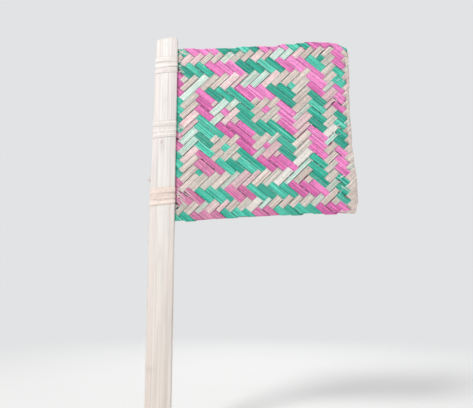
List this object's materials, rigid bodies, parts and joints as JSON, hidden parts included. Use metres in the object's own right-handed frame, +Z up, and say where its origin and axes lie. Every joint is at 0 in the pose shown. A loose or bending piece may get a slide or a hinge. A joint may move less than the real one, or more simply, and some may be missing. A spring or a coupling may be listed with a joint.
{
  "type": "woven bamboo hand fan",
  "caption": "Flag-shaped hand fan: a mat of dyed and natural bamboo strips woven on the bias, held in a slit flat bamboo handle and bound to it with strip lashings.",
  "frame": {"origin": "centre of the handle's butt end", "axes": "+Z up along the handle, +X across the mat to its free edge, -Y towards the viewer of the front"},
  "size_m": [0.2072, 0.0108, 0.401],
  "materials": {
    "green_dyed_bamboo": "dyed split bamboo, sea green, satin",
    "pink_dyed_bamboo": "dyed split bamboo, bright pink, satin",
    "natural_bamboo": "undyed split bamboo, some strips faintly tinted, satin",
    "handle_bamboo": "scraped pale bamboo, matte",
    "lashing_bamboo": "thin split bamboo, satin"
  },
  "bodies": {
    "root": {"green_splint_05_to_06": "green_dyed_bamboo", "green_splint_29_to_31": "green_dyed_bamboo", "green_splint_35_to_36": "green_dyed_bamboo", "green_strip_01": "green_dyed_bamboo", "green_strip_10": "green_dyed_bamboo", "green_strip_11": "green_dyed_bamboo", "green_strip_12": "green_dyed_bamboo", "green_strip_13": "green_dyed_bamboo", "green_strip_17": "green_dyed_bamboo", "green_strip_18": "green_dyed_bamboo", "green_strip_19": "green_dyed_bamboo", "green_strip_23": "green_dyed_bamboo", "green_strip_24": "green_dyed_bamboo", "green_strip_25": "green_dyed_bamboo", "green_strip_26": "green_dyed_bamboo", "lashing_bottom": "lashing_bamboo", "lashing_middle": "lashing_bamboo", "lashing_top": "lashing_bamboo", "natural_splint_01_to_06": "natural_bamboo", "natural_splint_32_to_38": "natural_bamboo", "natural_strip_07": "natural_bamboo", "natural_strip_08": "natural_bamboo", "natural_strip_09": "natural_bamboo", "natural_strip_10": "natural_bamboo", "natural_strip_11": "natural_bamboo", "natural_strip_12": "natural_bamboo", "natural_strip_13": "natural_bamboo", "natural_strip_14": "natural_bamboo", "natural_strip_15": "natural_bamboo", "natural_strip_16": "natural_bamboo", "natural_strip_17": "natural_bamboo", "natural_strip_18": "natural_bamboo", "natural_strip_19": "natural_bamboo", "natural_strip_20": "natural_bamboo", "natural_strip_21": "natural_bamboo", "natural_strip_22": "natural_bamboo", "natural_strip_23": "natural_bamboo", "natural_strip_24": "natural_bamboo", "natural_strip_25": "natural_bamboo", "natural_strip_26": "natural_bamboo", "natural_strip_27": "natural_bamboo", "natural_strip_28": "natural_bamboo", "natural_strip_29": "natural_bamboo", "natural_strip_30": "natural_bamboo", "natural_strip_31": "natural_bamboo", "pink_splint_02_to_04": "pink_dyed_bamboo", "pink_splint_07_to_09": "pink_dyed_bamboo", "pink_splint_32_to_34": "pink_dyed_bamboo", "pink_strip_14": "pink_dyed_bamboo", "pink_strip_15": "pink_dyed_bamboo", "pink_strip_16": "pink_dyed_bamboo", "pink_strip_20": "pink_dyed_bamboo", "pink_strip_21": "pink_dyed_bamboo", "pink_strip_22": "pink_dyed_bamboo", "pink_strip_27": "pink_dyed_bamboo", "pink_strip_28": "pink_dyed_bamboo", "split_handle": "handle_bamboo"}
  },
  "joints": []
}
